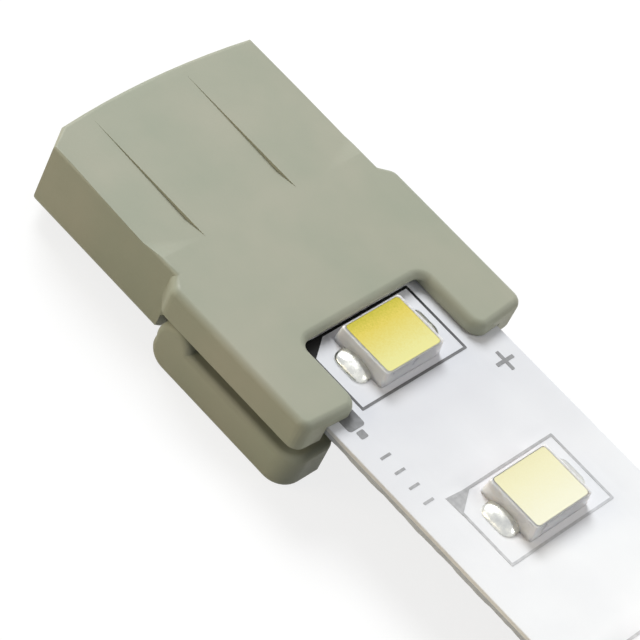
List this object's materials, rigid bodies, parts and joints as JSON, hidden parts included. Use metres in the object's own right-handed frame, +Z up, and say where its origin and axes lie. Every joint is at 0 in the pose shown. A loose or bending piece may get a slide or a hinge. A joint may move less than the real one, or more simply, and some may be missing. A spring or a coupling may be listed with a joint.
{
  "type": "led strip connector",
  "caption": "Solderless clamp connector: a moulded plug for two wires and a hinged jaw that grips the end of a light strip with surface-mounted lamps.",
  "frame": {"origin": "middle of the bounding box, on the surface the connector rests on", "axes": "+X along the strip, from the wire end towards the strip's free end; +Z up, out of the lit side"},
  "size_m": [0.0356, 0.013, 0.004],
  "materials": {
    "moulded_plastic": "satin, warm grey-green moulding",
    "contact_metal": "tinned, bright",
    "board_white": "white solder mask, semi-gloss",
    "foam_tape": "matt white foam",
    "pad_metal": "tinned copper",
    "chip_ceramic": "black glazed top",
    "solder": "bright solder",
    "lamp_case": "white, semi-gloss",
    "phosphor": "yellow silicone, smooth"
  },
  "bodies": {
    "connector": {"housing": "moulded_plastic", "contact_positive": "contact_metal", "contact_negative": "contact_metal", "strip_board": "board_white", "strip_adhesive": "foam_tape", "pad_near_positive": "pad_metal", "pad_near_negative": "pad_metal", "pad_far_positive": "pad_metal", "pad_far_negative": "pad_metal", "resistor_body": "chip_ceramic", "resistor_ends": "solder", "led_1_package": "lamp_case", "led_1_phosphor": "phosphor", "led_1_anode_joint": "solder", "led_1_cathode_joint": "solder", "led_2_package": "lamp_case", "led_2_phosphor": "phosphor", "led_2_anode_joint": "solder", "led_2_cathode_joint": "solder", "led_3_package": "lamp_case", "led_3_phosphor": "phosphor", "led_3_anode_joint": "solder", "led_3_cathode_joint": "solder"},
    "jaw": {"clamp_jaw": "moulded_plastic"}
  },
  "joints": [
    {"name": "jaw_hinge", "type": "hinge", "parent": "connector", "child": "jaw", "pos_m": [-0.00817, 0, 0.00145], "axis": [0, 1, 0], "range_deg": [0, 45]}
  ]
}
